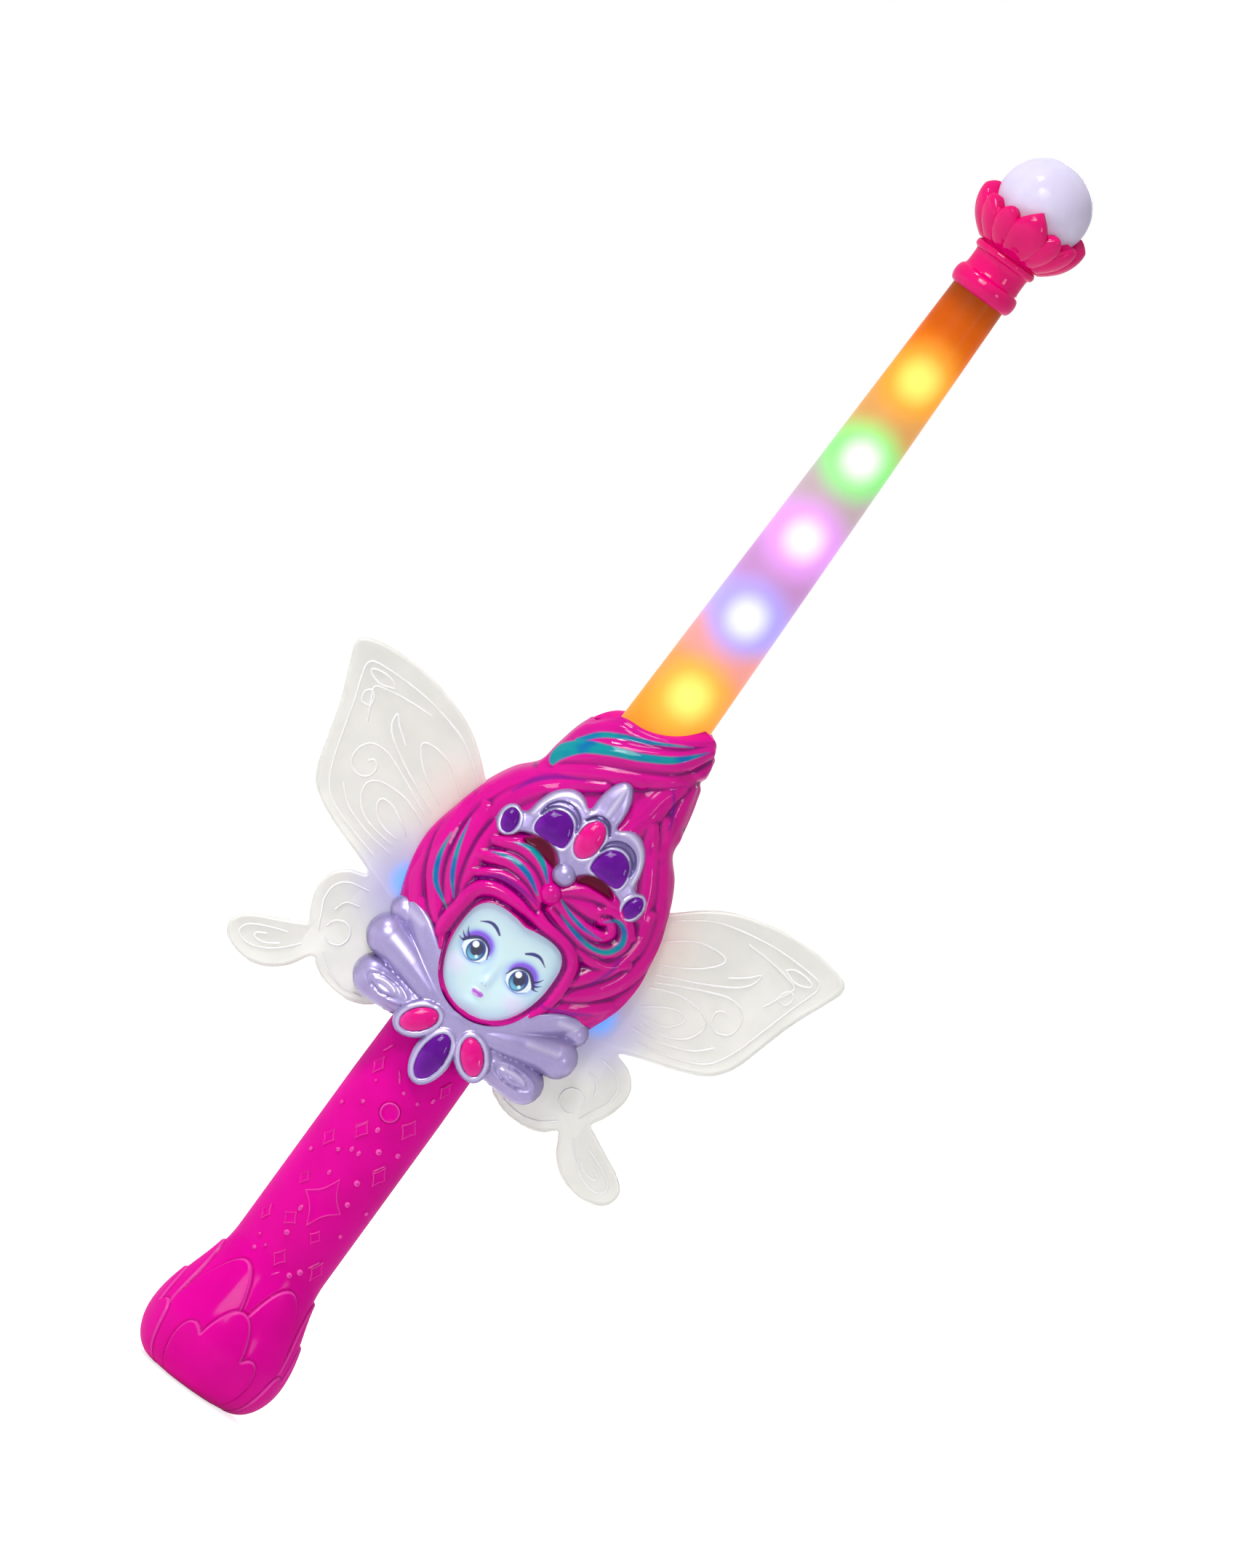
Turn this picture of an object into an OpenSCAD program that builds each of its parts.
// Light-up fairy wand: a moulded handle with a bud pommel, a hollow princess head with
// tiara, collar and two frosted wings, a tapered light tube and a lotus finial with a ball.
// Millimetres. +Z runs up the wand from the middle of its foot, and the face looks along -Y.

/* [Handle] */
// Outer diameter of the grip
grip_d = 30; // [29.6:0.2:33]
// How much the grip narrows in diameter towards the shoulder
grip_taper = 0.6; // [0:0.1:1.2]
// Wall thickness of the two handle shells
handle_wall = 2; // [1.6:0.1:2.2]
// Height of the shoulder, where the head begins
shoulder_z = 122; // [121:0.5:130]
// Diameter of the neck that the head is clamped round
neck_d = 24; // [22:0.5:25]
// Widest diameter of the bud pommel, without its petals
pommel_d = 44.2; // [42:0.2:46]
// Height of the widest part of the pommel
pommel_belly = 14; // [12:0.5:17]
// Height where the pommel has narrowed to the grip
pommel_top = 46; // [40:0.5:48]
// Diameter of the flat foot
foot_d = 24; // [18:1:30]
// How far the petals stand proud of the pommel
petal_rise = 0.8; // [0.5:0.1:1.1]
// Petals in each row round the pommel
petal_count = 6; // [5:1:8]

/* [Batteries and door] */
// Diameter of one battery cell
cell_d = 10.5; // [10:0.1:10.6]
// Length of one battery cell over its nub
cell_len = 44.5; // [43:0.5:45]
// Height of the lower end of the battery chamber
battery_z = 44; // [43.5:0.5:44.5]
// Room that each contact spring fills at the end of its cell
spring_len = 2.9; // [2.5:0.1:3.2]
// Width of the battery door
door_w = 19; // [18:0.5:20]
// Shank diameter of the captive door screw
door_screw_d = 2.2; // [2:0.1:2.4]

/* [Button and board] */
// Diameter of the push button
button_d = 6; // [5:0.2:7]
// Height of the button up the grip
button_z = 98; // [97.5:0.5:99]
// How far the button stands out of the grip
button_rise = 0.9; // [0.8:0.1:1.4]
// Travel of the button
button_travel = 0.8; // [0.5:0.1:0.8]
// Thickness of the circuit boards
board_t = 1.2; // [1:0.1:1.6]
// Width of the main board
board_w = 12; // [10:0.5:12]

/* [Head] */
// Widest width of the hair
head_w = 74.4; // [72:0.4:80]
// Depth of the hair in front of the parting plane
head_front_depth = 19; // [18.6:0.1:20]
// Depth of the hair behind the parting plane
head_back_depth = 20; // [19.6:0.1:21]
// Height of the hair from the shoulder to the tip of its swirl
head_h = 117; // [116:0.5:120]
// Wall thickness of the two head shells
head_wall = 2; // [1.6:0.1:2.4]
// Height of the slanted top of the swirl above the shoulder, on the wand's axis
swirl_rise = 111; // [109:0.5:112]
// Slant of the swirl's top
swirl_slope = 21; // [0:1:24]

/* [Face] */
// Width of the face window
face_w = 31.4; // [29:0.2:33]
// Height of the chin above the shoulder
chin_rise = 12.2; // [11.6:0.2:13]
// Height of the face window
face_h = 30.6; // [29:0.2:31]
// Thickness of the frosted face panel
face_t = 1.6; // [1.2:0.1:2]

/* [Tiara and collar] */
// Width over the end lobes of the tiara
tiara_w = 50.6; // [48:0.2:52]
// Height of the tip of the tiara above the shoulder
tiara_rise = 92.2; // [90:0.2:93]
// Thickness of the tiara over the hair
tiara_t = 2.2; // [1.8:0.1:2.6]
// Width over the lobes of the collar
collar_w = 72; // [68:1:76]
// How far the middle of the collar stands in front of the axis
collar_front = 20; // [19.8:0.1:21]
// Depth of the pockets that the gems are glued into
gem_seat = 0.8; // [0.5:0.1:1]
// How far a gem stands out of its pocket
gem_rise = 1.3; // [0.8:0.1:1.8]

/* [Wings] */
// Width over both wing tips
wing_span = 172; // [164:1:180]
// Thickness of a wing
wing_t = 2; // [1.6:0.1:2.6]

/* [Light tube] */
// Height of the lower end of the tube above the shoulder, inside the head
tube_seat = 83; // [82:0.5:84]
// Length of the tube up to its upper end, inside the finial
tube_len = 181; // [165:1:195]
// Diameter of the tube at its lower end
tube_low_d = 25; // [24.4:0.2:25.6]
// Diameter of the tube at its upper end
tube_top_d = 16.7; // [16:0.1:18]
// Wall thickness of the tube
tube_wall = 1.5; // [1.2:0.1:1.8]
// Number of lamps on the strip
lamp_count = 5; // [3:1:5]
// Height of the lowest lamp above the lower end of the tube
lamp_first = 39; // [30:1:45]
// Spacing of the lamps
lamp_pitch = 27.75; // [14:0.25:29]

/* [Finial] */
// Diameter of the ring that the tube ends in
finial_ring_d = 20.4; // [20:0.2:22]
// Height of the finial's lower edge below the end of the tube
finial_grip = 1.8; // [1:0.1:2.4]
// Diameter of the ball
ball_d = 28; // [26:0.5:29]
// Wall thickness of the ball
ball_wall = 1.6; // [1.2:0.1:2]
// Height of the ball's middle above the end of the tube
ball_lift = 30; // [29:0.2:32]

/* [Fits] */
// Gap between parts that are fixed together
seat_gap = 0.1; // [0.05:0.01:0.15]
// Gap between parts that move past each other
run_gap = 0.3; // [0.2:0.05:0.35]
// Shank diameter of the body screws
screw_d = 2.2; // [2:0.1:2.6]
// Head diameter of the body screws
screw_head_d = 4.6; // [4:0.1:4.8]
// Thickness of the screw heads
screw_head_t = 1.6; // [1.2:0.1:1.8]

/* [Hidden] */
$fn = 48;

// Colours of the moulded plastics
handle_pink = [0.90, 0.02, 0.62];
hair_pink = [0.85, 0.01, 0.52];
lilac = [0.70, 0.65, 0.82];
gem_purple = [0.36, 0.02, 0.56];
gem_pink = [0.92, 0.08, 0.50];
finial_pink = [0.90, 0.02, 0.44];
frosted = [0.90, 0.92, 0.94];
board_green = [0.10, 0.40, 0.22];
metal = [0.75, 0.75, 0.78];

// Handle: derived sizes
grip_r = grip_d / 2;
bore_r = grip_r - handle_wall;
neck_r = neck_d / 2;
neck_bore_r = neck_r - handle_wall;
pommel_r = pommel_d / 2;
foot_r = foot_d / 2;
taper_z = shoulder_z - 20;
step_count = 8;

// Heights that follow the shoulder
swirl_z = shoulder_z + swirl_rise;
chin_z = shoulder_z + chin_rise;
tiara_tip_z = shoulder_z + tiara_rise;
tube_z = shoulder_z + tube_seat;
tube_top_z = tube_z + tube_len;
head_r = head_w / 2;

// Neck and its clamp in the head
clamp_t = 2.4;
flange_t = 2;
flange_r = neck_r + 2;
flange_z = shoulder_z + clamp_t + seat_gap;
upper_clamp_z = flange_z + flange_t + seat_gap;
neck_top_z = upper_clamp_z + clamp_t + 1;
key_w = 3;

// Battery chamber
plate_t = 1.6;
contact_t = 0.3;
contact_r = 3.4;
cell_nub_d = 3.8;
cell_nub_h = 1.2;
cell_gap = 0.4;
cell_ring = (cell_d + cell_gap) / sqrt(3);
cell_angles = [-90, 30, 150];
cell_nub_up = [true, false, true];
chamber_len = cell_len + spring_len + 2 * contact_t;
chamber_top = battery_z + chamber_len;
cradle_r = bore_r - seat_gap;
cradle_back = 3;
cradle_plate_back = 8.6;
shelf_t = 1.4;
wire_d = 0.9;
lead_groove_d = 1.6;

// Battery door
door_t = handle_wall;
door_z = battery_z - 2.5;
door_end_gap = 0.45;
ledge_z = chamber_top + plate_t + run_gap;
ledge_len = 8;
door_top_z = ledge_z + 6.8;
door_screw_z = ledge_z + 3;
door_screw_grip = 3;
door_boss_r = 3;
ledge_r = bore_r - 0.25;
door_tab_w = 3;
door_tab_x = 3.5;
door_tab_len = 2;
door_tab_t = 1.2;

// Push button, switch and main board
button_r = button_d / 2;
button_flange_t = 0.8;
button_flange_r = button_r + 0.7;
board_front_y = -7.1;
board_back_y = board_front_y + board_t;
board_z0 = chamber_top + plate_t + 0.5;
board_z1 = shoulder_z - 4.5;
switch_w = 6;
switch_h = 3.3;
switch_top_y = board_front_y - switch_h;
plunger_r = 1.7;
plunger_bore = 1.2;
plunger_y = switch_top_y - 1.1;
button_back_y = plunger_y;
board_screw_d = 1.9;
board_screw_head_d = 3.6;
board_screw_head_t = 1.1;
board_screw_grip = 3.4;
board_pilot = board_screw_grip + 0.8;
board_screw_zs = [button_z + switch_w / 2 + 4.2, board_z1 - 3];
board_post_r = 2;
chip_size = 4;
chip_t = 1.4;

// Screws that join the handle shells: [x, z]
handle_screw_x = 9;
handle_screw_low_z = 24;
handle_screw_high_z = shoulder_z - 9;
screw_seat_y = 5;
screw_reach = 12;
boss_r = screw_head_d / 2 + 0.9;
handle_screw_spots = [
    [-handle_screw_x, handle_screw_low_z],
    [handle_screw_x, handle_screw_low_z],
    [-handle_screw_x, handle_screw_high_z],
    [handle_screw_x, handle_screw_high_z]
];

// Outline of the hair: share of the height, of half the width, of the front and back depth,
// and the sideways lean in millimetres
hair_levels = [
    [0.000, 0.46, 0.88, 0.84, 0.0],
    [0.060, 0.54, 0.89, 0.86, 0.0],
    [0.128, 0.70, 0.91, 0.89, 0.0],
    [0.205, 0.84, 0.95, 0.94, 0.0],
    [0.290, 0.95, 0.98, 0.98, 0.0],
    [0.393, 1.00, 1.00, 1.00, 0.0],
    [0.496, 0.94, 1.00, 0.99, 0.0],
    [0.581, 0.86, 0.98, 0.96, 0.0],
    [0.650, 0.75, 0.95, 0.92, 0.0],
    [0.700, 0.62, 0.90, 0.88, 0.0],
    [0.752, 0.59, 0.88, 0.86, 0.0],
    [0.812, 0.55, 0.85, 0.83, 0.0],
    [0.863, 0.50, 0.82, 0.80, 0.2],
    [0.915, 0.46, 0.79, 0.77, 0.5],
    [0.957, 0.43, 0.77, 0.75, 0.8],
    [1.000, 0.40, 0.75, 0.73, 1.0]
];
hair_power = 2.3;
hair_sides = 40;
hair_cuts = 2;

// Head: inner parts
tube_shelf_t = 2;
tube_flange_t = 2;
tube_flange_w = 1.6;
tube_clamp_z = tube_z + tube_flange_t + 0.4;
head_screw_spots = [
    for (side = [-1, 1])
        each [[side * (head_r - 17.2), shoulder_z + 54], [side * (head_r - 19.7), shoulder_z + 20]]
];
head_screw_seat_y = 6;
head_boss_r = screw_head_d / 2 + 0.9;
wing_peg_r = 1.5;
wing_pegs = [[head_r - 5.7, shoulder_z + 46], [head_r - 10.7, shoulder_z + 25]];
light_board_z = shoulder_z + 35;
light_board_w = 40;
light_board_h = 10;
light_board_y = 3;
light_post_x = 8;
lamp_w = 5;
lamp_h = 1.6;

// Face panel
face_lap = 1.5;

// Pegs that hold the tiara and the collar on the head
trim_peg_r = 1.4;
tiara_pegs = [[-12, tiara_tip_z - 15.2], [12, tiara_tip_z - 15.2]];
collar_pegs = [[-14, shoulder_z + 9.5], [14, shoulder_z + 9.5]];
trim_peg_len = 4;

// Light tube and strip
tube_top_r = tube_top_d / 2;
tube_low_r = tube_low_d / 2;
strip_w = 9;
strip_t = 1;
strip_z0 = tube_z - 7;
plug_t = 4;
spigot_len = 10;
strip_z1 = tube_top_z - 5;

// Finial
ball_r = ball_d / 2;
ball_z = tube_top_z + ball_lift;
ball_mouth_r = 7;
finial_neck_r = 8.7;
cup_r = 17.2;

// Rounded and mirrored outlines

function curve_at(a, b, c, d, t) =
    0.5 * (2 * b + (c - a) * t + (2 * a - 5 * b + 4 * c - d) * t * t + (3 * b - a - 3 * c + d) * t * t * t);

function rounded(points, cuts) =
    let (n = len(points))
    [
        for (i = [0 : n - 1], k = [0 : cuts - 1])
            curve_at(points[(i + n - 1) % n], points[i], points[(i + 1) % n], points[(i + 2) % n], k / cuts)
    ];

function mirrored(points) = [for (i = [len(points) - 1 : -1 : 0]) [-points[i][0], points[i][1]]];

function both_sides(half) = concat(half, mirrored([for (i = [1 : len(half) - 2]) half[i]]));

function ellipse(x, z, a, b, tilt = 0, steps = 24) = [
    for (i = [0 : steps - 1])
        let (u = a * cos(360 * i / steps), v = b * sin(360 * i / steps))
        [x + u * cos(tilt) - v * sin(tilt), z + u * sin(tilt) + v * cos(tilt)]
];

// A front-view outline of [x, z] points, drawn out along Y
module front_prism(points, y0, y1) {
    translate([0, y1, 0])
        rotate([90, 0, 0])
            linear_extrude(y1 - y0)
                polygon(points);
}

// A side-view outline of [across, z] points, drawn out from the axis at an angle round it
module radial_prism(angle, points, r0, r1) {
    rotate([0, 0, angle])
        translate([r0, 0, 0])
            rotate([90, 0, 90])
                linear_extrude(r1 - r0)
                    polygon(points);
}

module rod_y(x, z, y0, y1, r) {
    translate([x, y0, z])
        rotate([-90, 0, 0])
            cylinder(r = r, h = y1 - y0);
}

module block(x0, x1, y0, y1, z0, z1) {
    translate([x0, y0, z0])
        cube([x1 - x0, y1 - y0, z1 - z0]);
}

reach = 300;

module front_half() {
    intersection() {
        children();
        block(-reach, reach, -reach, 0, -reach, 2 * reach);
    }
}

module back_half() {
    intersection() {
        children();
        block(-reach, reach, 0, reach, -reach, 2 * reach);
    }
}

// A sculpted shape that is kept as one smooth mesh
module sculpted() {
    resize([0, 0, 0])
        children();
}

// A wire or spring of round section, swept along a list of points

function unit(v) = v / norm(v);

function way(p, i) = unit(p[min(i + 1, len(p) - 1)] - p[max(i - 1, 0)]);

function aside(d) = unit(abs(d[2]) > 0.9 ? cross(d, [0, 1, 0]) : cross(d, [0, 0, 1]));

module swept(path, d, sides = 8, fixed_side = [0, 0, 0]) {
    n = len(path);
    points = [
        for (i = [0 : n - 1])
            let (
                along = way(path, i),
                u = norm(fixed_side) > 0 ? unit(cross(along, fixed_side)) : aside(along),
                v = cross(along, u)
            )
            for (k = [0 : sides - 1])
                path[i] + d / 2 * (u * cos(360 * k / sides) + v * sin(360 * k / sides))
    ];
    walls = [
        for (i = [0 : n - 2], k = [0 : sides - 1])
            let (a = i * sides + k, b = i * sides + (k + 1) % sides)
            each [[a, b + sides, b], [a, a + sides, b + sides]]
    ];
    first = [for (k = [0 : sides - 1]) k];
    last = [for (k = [sides - 1 : -1 : 0]) (n - 1) * sides + k];
    polyhedron(points, concat(walls, [first, last]), convexity = 6);
}

// Handle profile, as [radius, z] points from the foot up

function above_belly(z) = min(1, (z - pommel_belly) / (pommel_top - pommel_belly));

function pommel_radius(z) =
    z < pommel_belly
        ? foot_r + (pommel_r - foot_r) * sqrt(1 - pow(1 - z / pommel_belly, 2))
        : grip_r + (pommel_r - grip_r) * (1 + cos(180 * above_belly(z))) / 2;

function pommel_heights() = concat(
    [for (i = [0 : step_count - 1]) pommel_belly * (1 - cos(90 * i / step_count))],
    [for (i = [0 : step_count]) pommel_belly + (pommel_top - pommel_belly) * i / step_count]
);

function grip_profile(inset) = concat(
    [for (z = pommel_heights()) [pommel_radius(z) - inset, max(z, inset)]],
    [[grip_r - inset, taper_z], [grip_r - grip_taper / 2 - inset, shoulder_z]]
);

module handle_outside() {
    rotate_extrude()
        polygon(concat([[0, 0]], grip_profile(0), [[0, shoulder_z]]));
}

module handle_inside(inset) {
    rotate_extrude()
        polygon(concat([[0, inset]], grip_profile(inset), [[0, shoulder_z]]));
}

module neck_and_flange() {
    translate([0, 0, shoulder_z - handle_wall])
        cylinder(r = neck_r, h = neck_top_z - shoulder_z + handle_wall);
    translate([0, 0, flange_z])
        cylinder(r = flange_r, h = flange_t);
}

function petal(half_w, z0, z1) = [
    [-half_w * 0.55, z0],
    [half_w * 0.55, z0],
    [half_w * 0.9, z0 + (z1 - z0) * 0.3],
    [half_w, z0 + (z1 - z0) * 0.55],
    [half_w * 0.75, z0 + (z1 - z0) * 0.8],
    [0, z1],
    [-half_w * 0.75, z0 + (z1 - z0) * 0.8],
    [-half_w, z0 + (z1 - z0) * 0.55],
    [-half_w * 0.9, z0 + (z1 - z0) * 0.3]
];

// Rows of petals, from the tall outer leaves down to the low scallops round the foot
module petals() {
    share = 360 / petal_count;
    wide = PI * pommel_d / petal_count;
    leaf = petal(wide * 0.39, pommel_belly - 1.5 * petal_rise, pommel_top - 5.5);
    low_leaf = petal(wide * 0.27, pommel_belly - 4, pommel_top - 17);
    intersection() {
        rotate_extrude()
            polygon(concat(
                [for (z = pommel_heights()) [pommel_radius(z) + petal_rise, max(z, petal_rise)]],
                [[grip_r - 0.5, pommel_top], [0, pommel_top], [0, petal_rise]]
            ));
        union() {
            for (i = [0 : petal_count - 1]) {
                radial_prism(-90 + share * (i + 0.5), leaf, 0, pommel_d);
                radial_prism(-90 + share * i, low_leaf, 0, pommel_d);
            }
        }
    }
}

module handle_shell() {
    difference() {
        union() {
            handle_outside();
            neck_and_flange();
            petals();
        }
        difference() {
            handle_inside(handle_wall);
            translate([0, 0, shoulder_z - handle_wall])
                cylinder(r = grip_d, h = 2 * handle_wall);
        }
        translate([0, 0, shoulder_z - 2 * handle_wall])
            cylinder(r = neck_bore_r, h = neck_top_z);
    }
}

module handle_bosses(r) {
    intersection() {
        union() {
            for (s = handle_screw_spots)
                rod_y(s[0], s[1], -grip_d, grip_d, r);
        }
        handle_inside(handle_wall - 0.5);
    }
}

module handle_front() {
    color(handle_pink)
        difference() {
            union() {
                front_half()
                    handle_shell();
                front_half()
                    handle_bosses(boss_r - 0.6);
                intersection() {
                    union() {
                        for (z = board_screw_zs)
                            rod_y(0, z, -grip_r, board_front_y, board_post_r);
                        front_half()
                            translate([0, 0, battery_z - plate_t - shelf_t])
                                difference() {
                                    cylinder(r = grip_r, h = shelf_t - seat_gap);
                                    cylinder(r = cradle_r - 2.5, h = 2 * shelf_t, center = true);
                                    translate([lead_groove()[0], lead_groove()[1], 0])
                                        cylinder(d = 3 * lead_groove_d, h = 2 * shelf_t, center = true);
                                    cylinder(d = 3 * lead_groove_d, h = 2 * shelf_t, center = true);
                                }
                    }
                    handle_inside(handle_wall - 0.5);
                }
            }
            for (s = handle_screw_spots)
                rod_y(s[0], s[1], -screw_reach + screw_seat_y - 1, 1, screw_d / 2 + 0.02);
            for (z = board_screw_zs)
                rod_y(0, z, board_front_y - board_pilot, board_front_y + 1, board_screw_d / 2 + 0.02);
            rod_y(0, button_z, -grip_d, -grip_r + handle_wall + 1, button_r + 0.15);
            block(-key_w / 2 - seat_gap, key_w / 2 + seat_gap, -flange_r - 1, -neck_r,
                flange_z - 1, neck_top_z);
        }
}

module door_opening() {
    block(-door_w / 2 - run_gap, door_w / 2 + run_gap, 0, grip_d,
        door_z - run_gap, door_top_z + door_end_gap);
}

// Step behind the upper end of the door, which the door rests on
module door_ledge() {
    difference() {
        translate([0, 0, ledge_z])
            cylinder(r = bore_r + 0.5, h = ledge_len);
        translate([0, 0, ledge_z - 1])
            cylinder(r = ledge_r - 1.6, h = ledge_len + 2);
        difference() {
            block(-door_w / 2 - run_gap, door_w / 2 + run_gap, 0, grip_d, 0, door_top_z + door_end_gap);
            cylinder(r = ledge_r, h = shoulder_z);
        }
    }
}

module handle_back() {
    color(handle_pink)
        difference() {
            union() {
                difference() {
                    union() {
                        back_half()
                            handle_shell();
                        back_half()
                            handle_bosses(boss_r);
                    }
                    door_opening();
                }
                back_half()
                    door_ledge();
                intersection() {
                    rod_y(0, door_screw_z, ledge_r - door_screw_grip - 3, ledge_r, door_boss_r);
                    translate([0, 0, ledge_z])
                        cylinder(r = ledge_r, h = ledge_len);
                }
            }
            rod_y(0, door_screw_z, 0, grip_d, door_screw_d / 2 + 0.6);
            for (s = handle_screw_spots) {
                rod_y(s[0], s[1], -1, screw_seat_y + 1, screw_d / 2 + 0.15);
                rod_y(s[0], s[1], screw_seat_y, pommel_d, screw_head_d / 2 + 0.2);
            }
        }
}

module screw(x, z, seat_y, head_r, head_t, shank_r, length) {
    rod_y(x, z, seat_y, seat_y + head_t, head_r);
    rod_y(x, z, seat_y - length, seat_y, shank_r);
}

module handle_screws() {
    color(metal)
        for (s = handle_screw_spots)
            screw(s[0], s[1], screw_seat_y, screw_head_d / 2, screw_head_t, screw_d / 2, screw_reach);
}

// Hook under the edge of the shell at the lower end of the door
module door_tab(x) {
    hook_r = bore_r - run_gap;
    root = 2;
    difference() {
        union() {
            intersection() {
                translate([0, 0, door_z - door_tab_len])
                    cylinder(r = hook_r, h = door_tab_len + root);
                block(x - door_tab_w / 2, x + door_tab_w / 2, 0, grip_d, 0, shoulder_z);
            }
            intersection() {
                handle_inside(door_t - 0.5);
                block(x - door_tab_w / 2, x + door_tab_w / 2, 0, grip_d, door_z, door_z + root);
            }
        }
        cylinder(r = hook_r - door_tab_t, h = shoulder_z);
    }
}

module battery_door() {
    color(handle_pink)
        difference() {
            union() {
                intersection() {
                    difference() {
                        handle_outside();
                        handle_inside(door_t);
                    }
                    block(-door_w / 2, door_w / 2, 0, grip_d, door_z, door_top_z);
                }
                for (side = [-1, 1])
                    door_tab(side * door_tab_x);
            }
            rod_y(0, door_screw_z, 0, grip_d, door_screw_d / 2 + 0.1);
            rod_y(0, door_screw_z, grip_r - door_t / 2, grip_d, screw_head_d / 2 + 0.2);
        }
}

module door_screw() {
    slot_w = 0.8;
    head_y = grip_r - door_t / 2;
    color(metal)
        difference() {
            union() {
                rod_y(0, door_screw_z, head_y, head_y + door_t / 2 - 0.1, screw_head_d / 2);
                rod_y(0, door_screw_z, ledge_r - door_screw_grip, head_y, door_screw_d / 2);
            }
            block(-screw_head_d, screw_head_d, grip_r - 0.6, grip_d,
                door_screw_z - slot_w / 2, door_screw_z + slot_w / 2);
        }
}

function cell_spot(i) = [cell_ring * cos(cell_angles[i]), cell_ring * sin(cell_angles[i])];

function lead_groove() = [(cradle_r - 0.3) * cos(210), (cradle_r - 0.3) * sin(210)];

module battery_cradle() {
    color([0.15, 0.15, 0.17])
        difference() {
            union() {
                for (z = [battery_z - plate_t, chamber_top])
                    intersection() {
                        translate([0, 0, z])
                            cylinder(r = cradle_r, h = plate_t);
                        block(-grip_d, grip_d, -grip_d, cradle_plate_back, 0, shoulder_z);
                    }
                intersection() {
                    translate([0, 0, battery_z])
                        cylinder(r = cradle_r, h = chamber_len);
                    block(-grip_d, grip_d, -grip_d, cradle_back, 0, shoulder_z);
                }
            }
            for (i = [0 : 2])
                translate([cell_spot(i)[0], cell_spot(i)[1], battery_z])
                    cylinder(d = cell_d + cell_gap - 0.02, h = chamber_len);
            translate([lead_groove()[0], lead_groove()[1], 0])
                cylinder(d = lead_groove_d, h = shoulder_z);
            contact_slot(1, 2, battery_z);
            contact_slot(0, 1, chamber_top - contact_t - seat_gap);
        }
}

// Height of the flat end of a cell
function cell_foot(i) =
    cell_nub_up[i] ? chamber_top - contact_t - cell_len : battery_z + contact_t + cell_len;

// Height of the contact that a cell's spring stands on
function spring_foot(i) = cell_nub_up[i] ? battery_z + contact_t : chamber_top - contact_t;

module battery_cells() {
    can = cell_len - cell_nub_h;
    color([0.55, 0.45, 0.20])
        for (i = [0 : 2])
            translate([cell_spot(i)[0], cell_spot(i)[1], cell_foot(i)])
                rotate([cell_nub_up[i] ? 0 : 180, 0, 0]) {
                    cylinder(d = cell_d, h = can);
                    cylinder(d = cell_nub_d, h = cell_len);
                }
}

module contact_springs() {
    turns = 2.5;
    per_turn = 12;
    spring_wire = 0.6;
    spring_r = 3;
    last = turns * per_turn;
    color(metal)
        for (i = [0 : 2])
            translate([cell_spot(i)[0], cell_spot(i)[1], spring_foot(i)])
                mirror([0, 0, cell_nub_up[i] ? 0 : 1])
                    swept([
                        for (k = [0 : last])
                            let (r = spring_r - 1.2 * k / last, h = spring_wire / 2 + 0.02)
                            [
                                r * cos(360 * k / per_turn),
                                r * sin(360 * k / per_turn),
                                h + (spring_len - 2 * h) * k / last
                            ]
                    ], spring_wire, 6, [0, 0, 1]);
}

module contact_pad(i, z) {
    translate([cell_spot(i)[0], cell_spot(i)[1], z])
        cylinder(r = contact_r, h = contact_t);
}

// A strip from one cell to the next
module contact_strip(i, j, z, wide, thick) {
    a = cell_spot(i);
    b = cell_spot(j);
    translate([a[0], a[1], z])
        rotate([0, 0, atan2(b[1] - a[1], b[0] - a[0])])
            translate([0, -wide / 2, 0])
                cube([norm(b - a), wide, thick]);
}

module contact_slot(i, j, z) {
    contact_strip(i, j, z, contact_r + 2 * seat_gap, contact_t + seat_gap);
}

module contact_bridge(i, j, z) {
    contact_pad(i, z);
    contact_pad(j, z);
    contact_strip(i, j, z, contact_r, contact_t);
}

module contact_plates() {
    low = battery_z;
    high = chamber_top - contact_t;
    color(metal) {
        contact_bridge(1, 2, low);
        contact_pad(0, low);
        contact_bridge(0, 1, high);
        contact_pad(2, high);
    }
}

module battery_lead_positive() {
    top = chamber_top + plate_t;
    x = cell_spot(2)[0];
    y = cell_spot(2)[1];
    color([0.75, 0.05, 0.05])
        swept([
            [x, y, top],
            [x, y, top + 1.5],
            [x + 0.3, y - 0.8, top + 3],
            [x + 1, y - 3, top + 4.4],
            [x + 1.4, board_back_y + 2.5, top + 5],
            [x + 1.4, board_back_y + 1, top + 5],
            [x + 1.4, board_back_y, top + 5]
        ], wire_d);
}

module battery_lead_negative() {
    low = battery_z - plate_t;
    top = chamber_top + plate_t;
    g = lead_groove();
    color([0.08, 0.08, 0.09])
        swept([
            [0, cell_spot(0)[1] + 2, low],
            [0, cell_spot(0)[1] + 2, low - 1.5],
            [-0.8, cell_spot(0)[1] + 2, low - 3],
            [-3, cell_spot(0)[1] + 1.6, low - 3.8],
            [g[0] + 2.4, g[1] + 0.6, low - 3.4],
            [g[0] + 0.6, g[1] + 0.2, low - 2],
            [g[0] + 0.15, g[1] + 0.1, low],
            [g[0] + 0.15, g[1] + 0.1, top],
            [g[0] + 0.6, g[1] + 0.8, top + 2],
            [g[0] + 2.4, g[1] + 2.6, top + 4.5],
            [-5.4, board_back_y + 3.4, top + 7],
            [-4.6, board_back_y + 2, top + 8],
            [-4.6, board_back_y + 1, top + 8],
            [-4.6, board_back_y, top + 8]
        ], wire_d);
}

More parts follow.
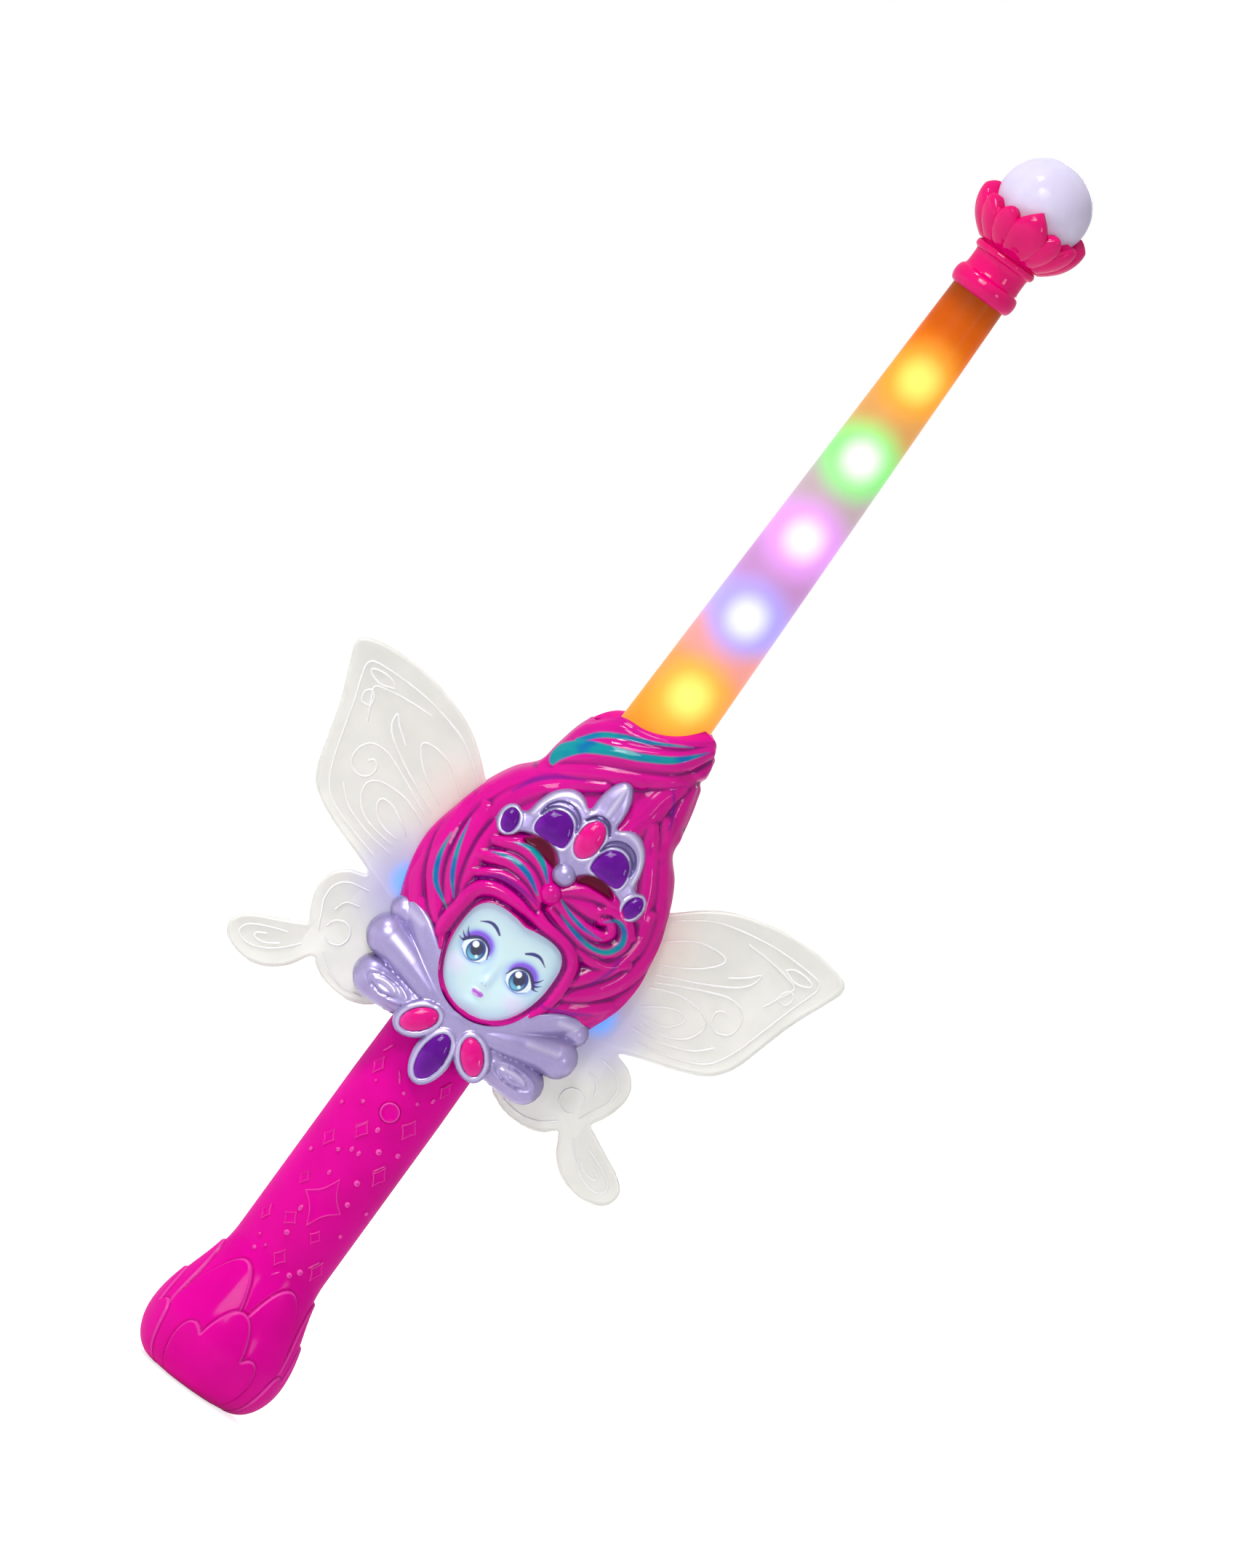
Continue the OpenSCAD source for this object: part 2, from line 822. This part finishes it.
module button_cap() {
    color(handle_pink)
        union() {
            rod_y(0, button_z, -grip_r - button_rise + 0.5, button_back_y, button_r);
            translate([0, -grip_r - button_rise + 0.5, button_z])
                rotate([90, 0, 0])
                    cylinder(r1 = button_r, r2 = button_r - 0.5, h = 0.5);
            rod_y(0, button_z, button_back_y - button_flange_t, button_back_y, button_flange_r);
        }
}

module switch_plunger() {
    color([0.12, 0.12, 0.13])
        rod_y(0, button_z, plunger_y, switch_top_y + plunger_bore - button_travel - 0.1, plunger_r);
}

module switch_body() {
    color([0.2, 0.2, 0.22])
        difference() {
            block(-switch_w / 2, switch_w / 2, switch_top_y, board_front_y,
                button_z - switch_w / 2, button_z + switch_w / 2);
            rod_y(0, button_z, switch_top_y - 1, switch_top_y + plunger_bore, plunger_r + 0.08);
        }
}

module main_board() {
    color(board_green)
        difference() {
            block(-board_w / 2, board_w / 2, board_front_y, board_back_y, board_z0, board_z1);
            for (z = board_screw_zs)
                rod_y(0, z, board_front_y - 1, board_back_y + 1, board_screw_d / 2 + 0.1);
        }
}

module control_chip() {
    half = chip_size / 2;
    z = (board_screw_zs[0] + board_screw_zs[1]) / 2;
    color([0.1, 0.1, 0.1])
        block(-half, half, board_back_y, board_back_y + chip_t, z - half, z + half);
}

module board_screw(x, z, seat_y) {
    length = board_t + board_screw_grip;
    screw(x, z, seat_y, board_screw_head_d / 2, board_screw_head_t, board_screw_d / 2, length);
}

module board_screws() {
    color(metal) {
        for (z = board_screw_zs)
            board_screw(0, z, board_back_y);
        for (side = [-1, 1])
            mirror([0, 1, 0])
                board_screw(side * light_post_x, light_board_z, -light_board_y);
    }
}

// Hair: a loft through rounded sections

function hair_level(i) = let (l = hair_levels[min(max(i, 0), len(hair_levels) - 1)])
    [shoulder_z + head_h * l[0], head_w / 2 * l[1], head_front_depth * l[2], head_back_depth * l[3], l[4]];

hair_rings = [
    for (i = [0 : len(hair_levels) - 2], k = [0 : hair_cuts - 1])
        curve_at(hair_level(i - 1), hair_level(i), hair_level(i + 1), hair_level(i + 2), k / hair_cuts),
    hair_level(len(hair_levels) - 1)
];

function hair_at(z, what) = lookup(z, [for (r = hair_rings) [r[0], r[what]]]);

// Front surface of the hair at a place in the front view
function hair_front_y(x, z, grow = 0) =
    let (share = min(1, abs(x - hair_at(z, 4)) / (hair_at(z, 1) + grow)))
    -(hair_at(z, 2) + grow) * pow(1 - pow(share, hair_power), 1 / hair_power);

function rounded_power(v) = sign(v) * pow(abs(v), 2 / hair_power);

module hair(grow) {
    n = hair_sides;
    points = [
        for (r = hair_rings, k = [0 : n - 1])
            let (c = cos(360 * k / n), s = sin(360 * k / n))
            [
                r[4] + (r[1] + grow) * rounded_power(c),
                ((s < 0 ? r[2] : r[3]) + grow) * rounded_power(s),
                r[0]
            ]
    ];
    walls = [
        for (i = [0 : len(hair_rings) - 2], k = [0 : n - 1])
            let (a = i * n + k, b = i * n + (k + 1) % n)
            each [[a, b + n, b], [a, a + n, b + n]]
    ];
    low = [for (k = [0 : n - 1]) k];
    high = [for (k = [n - 1 : -1 : 0]) (len(hair_rings) - 1) * n + k];
    polyhedron(points, concat(walls, [low, high]), convexity = 8);
}

module under_swirl(drop) {
    translate([0, 0, swirl_z - drop])
        rotate([0, -swirl_slope, 0])
            block(-reach, reach, -reach, reach, -2 * reach, 0);
}

function tube_radius(z) = tube_top_r + (tube_low_r - tube_top_r) * (tube_top_z - z) / (tube_top_z - tube_z);

module head_hollow() {
    difference() {
        intersection() {
            hair(-head_wall);
            under_swirl(head_wall);
        }
        block(-reach, reach, -reach, reach, 0, shoulder_z + clamp_t);
        block(-reach, reach, -reach, reach, upper_clamp_z, upper_clamp_z + clamp_t);
        block(-reach, reach, -reach, reach, tube_z - tube_shelf_t, tube_z);
        block(-reach, reach, -reach, reach, tube_clamp_z, tube_clamp_z + tube_shelf_t);
    }
}

module head_shell() {
    difference() {
        intersection() {
            hair(0);
            under_swirl(0);
        }
        head_hollow();
        translate([0, 0, shoulder_z - 1])
            cylinder(r = neck_r + seat_gap, h = neck_top_z - shoulder_z + 1);
        translate([0, 0, shoulder_z + clamp_t])
            cylinder(r = flange_r + 2 * seat_gap, h = upper_clamp_z - shoulder_z - clamp_t);
        translate([0, 0, tube_z - 2 * tube_shelf_t])
            cylinder(r = tube_low_r - tube_wall - 1, h = 3 * tube_shelf_t);
        translate([0, 0, tube_z])
            cylinder(r = tube_low_r + tube_flange_w + 2 * seat_gap, h = tube_clamp_z - tube_z);
        translate([0, 0, tube_z])
            cylinder(r1 = tube_radius(tube_z) + seat_gap, r2 = tube_radius(tube_z + 40) + seat_gap, h = 40);
        for (side = [0, 1])
            mirror([side, 0, 0])
                translate([0, wing_t / 2 + seat_gap, 0])
                    rotate([90, 0, 0])
                        linear_extrude(wing_t + 2 * seat_gap)
                            offset(delta = 2 * seat_gap)
                                polygon(wing_outline());
    }
}

module head_bosses(r) {
    intersection() {
        union() {
            for (s = head_screw_spots)
                rod_y(s[0], s[1], -head_w, head_w, r, $fn = 24);
        }
        hair(0.5 - head_wall);
    }
}

function face_outline() =
    let (half_w = face_w / 2)
    [for (p = rounded(both_sides([
        [0, 0],
        [half_w * 0.36, face_h * 0.025],
        [half_w * 0.68, face_h * 0.12],
        [half_w * 0.90, face_h * 0.30],
        [half_w, face_h * 0.58],
        [half_w * 0.96, face_h * 0.85],
        [half_w * 0.72, face_h * 0.98],
        [half_w * 0.36, face_h],
        [0, face_h * 0.96]
    ]), 2)) [p[0], chin_z + p[1]]];

// The face window, widened all round, drawn forwards from a plane
module face_prism(grow, y) {
    translate([0, y, 0])
        rotate([90, 0, 0])
            linear_extrude(head_w)
                offset(delta = grow)
                    polygon(face_outline());
}

module head_front() {
    color(hair_pink)
        sculpted()
            difference() {
                union() {
                    front_half()
                        head_shell();
                    difference() {
                        front_half()
                            head_bosses(head_boss_r - 0.6);
                        face_prism(face_lap + run_gap, 0);
                    }
                    intersection() {
                        block(-key_w / 2, key_w / 2, -flange_r - 4, -neck_r - seat_gap - 0.2,
                            shoulder_z + 1, upper_clamp_z + 1);
                        hair(0.5 - head_wall);
                    }
                }
                for (s = head_screw_spots)
                    rod_y(s[0], s[1], head_screw_seat_y - screw_reach - 1, 1, screw_d / 2 + 0.1, $fn = 16);
                face_prism(0, -8);
                for (p = concat(tiara_pegs, collar_pegs))
                    rod_y(p[0], p[1], -head_w, hair_front_y(p[0], p[1]) + trim_peg_len + 1,
                        trim_peg_r + seat_gap, $fn = 16);
            }
}

module head_back() {
    color(hair_pink)
        sculpted()
            difference() {
                union() {
                    difference() {
                        union() {
                            back_half()
                                head_shell();
                            back_half()
                                head_bosses(head_boss_r);
                        }
                        for (s = head_screw_spots) {
                            rod_y(s[0], s[1], -1, head_screw_seat_y + 1, screw_d / 2 + 0.15, $fn = 16);
                            rod_y(s[0], s[1], head_screw_seat_y, head_w, screw_head_d / 2 + 0.2, $fn = 24);
                        }
                    }
                    intersection() {
                        union() {
                            for (p = wing_pegs, side = [-1, 1])
                                rod_y(side * p[0], p[1], -wing_t / 2, head_w, wing_peg_r, $fn = 16);
                            for (side = [-1, 1])
                                rod_y(side * light_post_x, light_board_z, light_board_y + board_t, head_w,
                                    board_post_r, $fn = 16);
                        }
                        hair(0.5 - head_wall);
                    }
                }
                for (side = [-1, 1])
                    rod_y(side * light_post_x, light_board_z, 0, light_board_y + board_t + board_pilot,
                        board_screw_d / 2 + 0.1, $fn = 16);
            }
}

module head_screws() {
    color(metal)
        for (s = head_screw_spots)
            screw(s[0], s[1], head_screw_seat_y, screw_head_d / 2, screw_head_t, screw_d / 2, screw_reach);
}

module face_panel() {
    color(frosted)
        sculpted()
            front_half()
                difference() {
                    intersection() {
                        hair(-head_wall - seat_gap);
                        face_prism(face_lap, -8);
                        block(-reach, reach, -reach, reach, upper_clamp_z + clamp_t + seat_gap, reach);
                    }
                    hair(-head_wall - seat_gap - face_t);
                }
}

module head_light_board() {
    color(board_green)
        difference() {
            block(-light_board_w / 2, light_board_w / 2, light_board_y, light_board_y + board_t,
                light_board_z - light_board_h / 2, light_board_z + light_board_h / 2);
            for (side = [-1, 1])
                rod_y(side * light_post_x, light_board_z, 0, light_board_y + 5, board_screw_d / 2 + 0.1);
        }
}

module lamp(x, y, z) {
    lens = lamp_w * 0.36;
    block(x - lamp_w / 2, x + lamp_w / 2, y - lamp_h, y, z - lamp_w / 2, z + lamp_w / 2);
    rod_y(x, z, y - lamp_h - 0.4, y - lamp_h, lens);
}

module face_lamp() {
    color([0.95, 0.97, 1.0])
        lamp(0, light_board_y, light_board_z);
}

module wing_lamps() {
    color([0.30, 0.60, 1.0])
        for (side = [-1, 1])
            lamp(side * (light_board_w - lamp_w) / 2, light_board_y, light_board_z);
}

module head_leads() {
    end_z = light_board_z - light_board_h / 2;
    start_y = (board_front_y + board_back_y) / 2;
    end_y = light_board_y + board_t / 2;
    color([0.1, 0.2, 0.7])
        for (side = [-1, 1])
            swept([
                [side * 4, start_y, board_z1],
                [side * 4, start_y, board_z1 + 4],
                [side * 4, start_y + 0.3, board_z1 + 9],
                [side * 4, start_y + 2.5, board_z1 + 16],
                [side * 4, start_y + 6.5, board_z1 + 22],
                [side * 4, end_y - 0.6, end_z - 7],
                [side * 4, end_y, end_z - 3],
                [side * 4, end_y, end_z]
            ], wire_d);
}

module strip_leads() {
    start_y = (board_front_y + board_back_y) / 2;
    color([0.75, 0.70, 0.1])
        for (side = [-1, 1])
            swept([
                [side * 2, start_y, board_z1],
                [side * 2, start_y, board_z1 + 5],
                [side * 2, start_y, board_z1 + 25],
                [side * 2, start_y, strip_z0 - 30],
                [side * 2, start_y + 0.8, strip_z0 - 22],
                [side * 2, -2.6, strip_z0 - 13],
                [side * 2, -0.3, strip_z0 - 6],
                [side * 2, 0, strip_z0 - 2],
                [side * 2, 0, strip_z0]
            ], wire_d);
}

// Tiara and its gems

tiara_lobe_x = tiara_w / 2 - 3.8;
tiara_lobe_z = tiara_tip_z - 28.2;
tiara_gem_x = 9.6;
tiara_gem_z = tiara_tip_z - 22;
tiara_drop_z = tiara_tip_z - 19.4;
tiara_pearl_z = tiara_tip_z - 31.7;
tiara_pearl_r = 3.2;
tiara_pearl_sink = 0.6;

function tiara_outline() =
    let (t = tiara_tip_z, e = tiara_w / 2)
    rounded(both_sides([
        [0, t],
        [2.6, t - 2.4],
        [4.3, t - 8],
        [5.4, t - 11.8],
        [9.5, t - 10.4],
        [14.6, t - 12.4],
        [17.6, t - 16.4],
        [18.9, t - 22],
        [20.2, t - 24.2],
        [e - 2, t - 23.6],
        [e, t - 27],
        [e - 1.4, t - 31.4],
        [e - 4.2, t - 32.7],
        [e - 7.2, t - 31],
        [15, t - 28.6],
        [10.5, t - 26.8],
        [6, t - 27.6],
        [3.6, t - 29.5],
        [0, t - 33.5]
    ]), 2);

function tiara_gem_outline(side) =
    let (x = side * tiara_gem_x, z = tiara_gem_z)
    rounded([
        [x - side * 3.6, z - 3],
        [x + side * 2.6, z - 4.2],
        [x + side * 5, z - 1.2],
        [x + side * 4.2, z + 3.4],
        [x, z + 4.9],
        [x - side * 4, z + 3.2]
    ], 4);

function tiara_lobe_gem(side) = ellipse(side * tiara_lobe_x, tiara_lobe_z, 2.3, 3.5, side * 14);

function tiara_drop() = ellipse(0, tiara_drop_z, 3.4, 5.8);

function gem_base(x, z) = hair_front_y(x, z, tiara_t) + gem_seat;

module tiara() {
    color(lilac)
        sculpted()
            difference() {
                union() {
                    difference() {
                        intersection() {
                            front_prism(tiara_outline(), -head_w, 0);
                            hair(tiara_t);
                        }
                        hair(seat_gap);
                    }
                    difference() {
                        translate([0, hair_front_y(0, tiara_pearl_z, tiara_pearl_sink), tiara_pearl_z])
                            sphere(r = tiara_pearl_r, $fn = 24);
                        hair(seat_gap);
                    }
                    for (p = tiara_pegs)
                        rod_y(p[0], p[1], hair_front_y(p[0], p[1], tiara_t / 2),
                            hair_front_y(p[0], p[1]) + trim_peg_len, trim_peg_r, $fn = 16);
                }
                for (side = [-1, 1]) {
                    front_prism(tiara_gem_outline(side), -head_w, gem_base(tiara_gem_x, tiara_gem_z));
                    front_prism(tiara_lobe_gem(side), -head_w, gem_base(tiara_lobe_x, tiara_lobe_z));
                }
                front_prism(tiara_drop(), -head_w, gem_base(0, tiara_drop_z));
            }
}

// A cabochon: a front-view outline under a shallow dome
module gem(points, x, z, base_y, half) {
    rise = gem_seat + gem_rise;
    dome = (half * half + rise * rise) / (2 * rise);
    intersection() {
        front_prism([for (p = points) [x + (p[0] - x) * 0.97, z + (p[1] - z) * 0.97]], base_y - rise, base_y);
        translate([x, base_y - rise + dome, z])
            sphere(r = dome, $fn = 160);
    }
}

module tiara_purple_gems() {
    gem_y = gem_base(tiara_gem_x, tiara_gem_z);
    lobe_y = gem_base(tiara_lobe_x, tiara_lobe_z);
    color(gem_purple)
        for (side = [-1, 1]) {
            gem(tiara_gem_outline(side), side * tiara_gem_x, tiara_gem_z, gem_y, 7.4);
            gem(tiara_lobe_gem(side), side * tiara_lobe_x, tiara_lobe_z, lobe_y, 5);
        }
}

module tiara_pink_gem() {
    color(gem_pink)
        gem(tiara_drop(), 0, tiara_drop_z, gem_base(0, tiara_drop_z), 7.6);
}

// Collar: three shell lobes a side behind a middle plate with three gem seats

collar_r = collar_w / 2;
collar_mid_z = shoulder_z + 5.5;
collar_drop_z = shoulder_z - 3.5;
collar_gem_x = 9.3;
collar_gem_z = shoulder_z + 2.9;
collar_plate_t = 2.8;

function collar_drop(grow) = ellipse(0, collar_drop_z, 3.4 + grow, 7.1 + grow);

function collar_gem(side, grow) =
    ellipse(side * collar_gem_x, collar_gem_z, 3.1 + grow, 5.4 + grow, side * 42);

// One lobe of the bow, from its root beside the middle plate to its tip in front of the wing,
// with heights above the shoulder
module shell_lobe(x0, z0, r0, x1, z1, r1) {
    root_y = -collar_front + r0 + 1.2;
    tip_y = -r1 - wing_t / 2 - 2;
    hull() {
        translate([x0, root_y, shoulder_z + z0])
            sphere(r = r0, $fn = 16);
        translate([x1, tip_y, shoulder_z + z1])
            sphere(r = r1, $fn = 20);
        translate([(x0 + x1) / 2, (root_y + tip_y) / 2 - 2.2, shoulder_z + (z0 + z1) / 2])
            sphere(r = (r0 + r1) / 2, $fn = 16);
    }
}

module collar() {
    color(lilac)
        sculpted()
            difference() {
                union() {
                    for (side = [0, 1])
                        mirror([side, 0, 0]) {
                            shell_lobe(9, 11, 3, collar_r - 6.6, 24.6, 4.2);
                            shell_lobe(9, 8, 3.6, collar_r - 6.4, 16, 6.4);
                            shell_lobe(9, 4.5, 3.6, collar_r - 11, 4.8, 6.2);
                        }
                    front_prism(collar_drop(2), -collar_front, -collar_front + collar_plate_t);
                    for (side = [-1, 1])
                        front_prism(collar_gem(side, 2), -collar_front, -collar_front + collar_plate_t);
                    front_prism(ellipse(0, collar_mid_z, 8.6, 7), -collar_front, -neck_r);
                    for (p = collar_pegs)
                        rod_y(p[0], p[1], -collar_front + 4, hair_front_y(p[0], p[1]) + trim_peg_len,
                            trim_peg_r, $fn = 16);
                }
                difference() {
                    hair(seat_gap);
                    for (p = collar_pegs)
                        rod_y(p[0], p[1], -head_w, 0, trim_peg_r, $fn = 16);
                }
                cylinder(r = grip_r + run_gap, h = shoulder_z + 1);
                face_prism(0, -8);
                front_prism(collar_drop(0), -head_w, -collar_front + gem_seat);
                for (side = [-1, 1])
                    front_prism(collar_gem(side, 0), -head_w, -collar_front + gem_seat);
            }
}

module collar_pink_gems() {
    color(gem_pink)
        for (side = [-1, 1])
            gem(collar_gem(side, 0), side * collar_gem_x, collar_gem_z, -collar_front + gem_seat, 7);
}

module collar_purple_gem() {
    color(gem_purple)
        gem(collar_drop(0), 0, collar_drop_z, -collar_front + gem_seat, 9);
}

// Right wing in the front view, from the root round the upper lobe and the tail: the distance
// from the side of the head, drawn for a reach of wing_draft, and the height above the shoulder
wing_reach = wing_span / 2 - head_r;
wing_draft = 48.8;
wing_points = [
    [-12.2, 64],
    [-6.2, 66.6],
    [2.8, 72.8],
    [14.8, 78.7],
    [28.8, 82.8],
    [40.8, 82.4],
    [48.2, 80],
    [48, 75.6],
    [43.8, 65],
    [40.2, 53],
    [36.2, 41.6],
    [29.8, 34],
    [19.8, 30.3],
    [8.8, 27.2],
    [5.8, 26.2],
    [10.8, 24.8],
    [15.4, 20.4],
    [16.2, 14],
    [13.4, 6.6],
    [12.8, 3.6],
    [19.8, 0.4],
    [28.8, -4.2],
    [31, -8.4],
    [26.4, -13.2],
    [18.8, -14.2],
    [12.4, -10],
    [8, -3.8],
    [5.4, -1.6],
    [0.8, -5],
    [-5.2, -7],
    [-12.2, -5.4],
    [-17.7, 0],
    [-18.7, 7],
    [-17.2, 14],
    [-13.2, 24],
    [-9.2, 36],
    [-7.8, 46],
    [-9.2, 57]
];

function wing_outline() = rounded([
    for (p = wing_points)
        [head_r + (p[0] > 0 ? p[0] * wing_reach / wing_draft : p[0]), shoulder_z + p[1]]
], 2);

module wing() {
    color(frosted)
        difference() {
            front_prism(wing_outline(), -wing_t / 2, wing_t / 2);
            for (p = wing_pegs)
                rod_y(p[0], p[1], -wing_t, wing_t, wing_peg_r + seat_gap);
        }
}

module right_wing() {
    wing();
}

module left_wing() {
    mirror([1, 0, 0])
        wing();
}

module light_tube() {
    color(frosted)
        rotate_extrude()
            polygon([
                [tube_low_r - tube_wall, tube_z],
                [tube_low_r + tube_flange_w, tube_z],
                [tube_low_r + tube_flange_w, tube_z + tube_flange_t],
                [tube_radius(tube_z + tube_flange_t), tube_z + tube_flange_t],
                [tube_top_r, tube_top_z],
                [tube_top_r - tube_wall, tube_top_z]
            ]);
}

module strip_slot(z0, z1) {
    half_w = strip_w / 2 + seat_gap;
    half_t = strip_t / 2 + seat_gap;
    block(-half_w, half_w, -half_t, half_t, z0, z1);
}

module tube_plug() {
    color([0.85, 0.85, 0.85])
        difference() {
            translate([0, 0, tube_z])
                cylinder(r = tube_radius(tube_z + plug_t) - tube_wall - seat_gap, h = plug_t);
            strip_slot(tube_z - 1, tube_z + plug_t + 1);
        }
}

module lamp_strip() {
    color([0.93, 0.93, 0.90])
        block(-strip_w / 2, strip_w / 2, -strip_t / 2, strip_t / 2, strip_z0, strip_z1);
}

module strip_lamps() {
    color([0.98, 0.85, 0.60])
        for (i = [0 : lamp_count - 1])
            lamp(0, -strip_t / 2, tube_z + lamp_first + lamp_pitch * i);
}

module finial_cup() {
    t = tube_top_z;
    ring_r = finial_ring_d / 2;
    low = t - finial_grip;
    rim = ball_z - 2;
    big = both_sides([[0, t], [4.7, t], [4.7, rim - 7], [3.4, rim - 3.2], [1.6, rim - 0.6], [0, rim + 0.7]]);
    small = both_sides([[0, t], [4.2, t], [4.2, rim - 8], [3, rim - 5], [0, rim - 2.8]]);
    color(finial_pink)
        difference() {
            union() {
                rotate_extrude()
                    polygon([
                        [0, t - spigot_len],
                        [tube_top_r - tube_wall - seat_gap, t - spigot_len],
                        [tube_top_r - tube_wall - seat_gap, t],
                        [tube_radius(low) + seat_gap, t],
                        [tube_radius(low) + seat_gap, low],
                        [ring_r - 0.8, low],
                        [ring_r, low + 1.4],
                        [ring_r, low + 4.8],
                        [ring_r - 0.8, low + 6.1],
                        [finial_neck_r, low + 6.5],
                        [finial_neck_r, low + 12],
                        [finial_neck_r + 1.1, low + 12.7],
                        [finial_neck_r + 1.1, low + 14.4],
                        [finial_neck_r + 0.7, low + 15],
                        [finial_neck_r + 2.6, low + 18.2],
                        [0, low + 18.2]
                    ]);
                intersection() {
                    rotate_extrude()
                        polygon([
                            [0, low + 16],
                            [finial_neck_r + 1.2, low + 16],
                            [finial_neck_r + 2.6, low + 18.2],
                            [cup_r - 2.4, ball_z - 9.6],
                            [cup_r - 0.6, ball_z - 6.6],
                            [cup_r, ball_z - 4],
                            [cup_r - 0.4, ball_z],
                            [0, ball_z]
                        ]);
                    union() {
                        for (i = [0 : 11])
                            radial_prism(30 * i, i % 3 == 0 ? big : small, 0, 2 * cup_r);
                    }
                }
            }
            difference() {
                translate([0, 0, ball_z])
                    sphere(r = ball_r + seat_gap);
                translate([0, 0, low])
                    cylinder(r = ball_mouth_r - seat_gap, h = ball_z - ball_r + 4.5 - low);
            }
            strip_slot(t - spigot_len - 1, strip_z1 + seat_gap);
        }
}

module finial_ball() {
    color([0.88, 0.86, 0.95])
        translate([0, 0, ball_z])
            difference() {
                sphere(r = ball_r);
                sphere(r = ball_r - ball_wall);
                translate([0, 0, -ball_r - 1])
                    cylinder(r = ball_mouth_r, h = ball_r);
            }
}

handle_front();
handle_back();
handle_screws();
battery_door();
door_screw();
battery_cradle();
battery_cells();
contact_springs();
contact_plates();
battery_lead_positive();
battery_lead_negative();
button_cap();
switch_plunger();
switch_body();
main_board();
control_chip();
board_screws();
head_front();
head_back();
head_screws();
face_panel();
head_light_board();
face_lamp();
wing_lamps();
head_leads();
strip_leads();
tiara();
tiara_purple_gems();
tiara_pink_gem();
collar();
collar_pink_gems();
collar_purple_gem();
left_wing();
right_wing();
light_tube();
tube_plug();
lamp_strip();
strip_lamps();
finial_cup();
finial_ball();
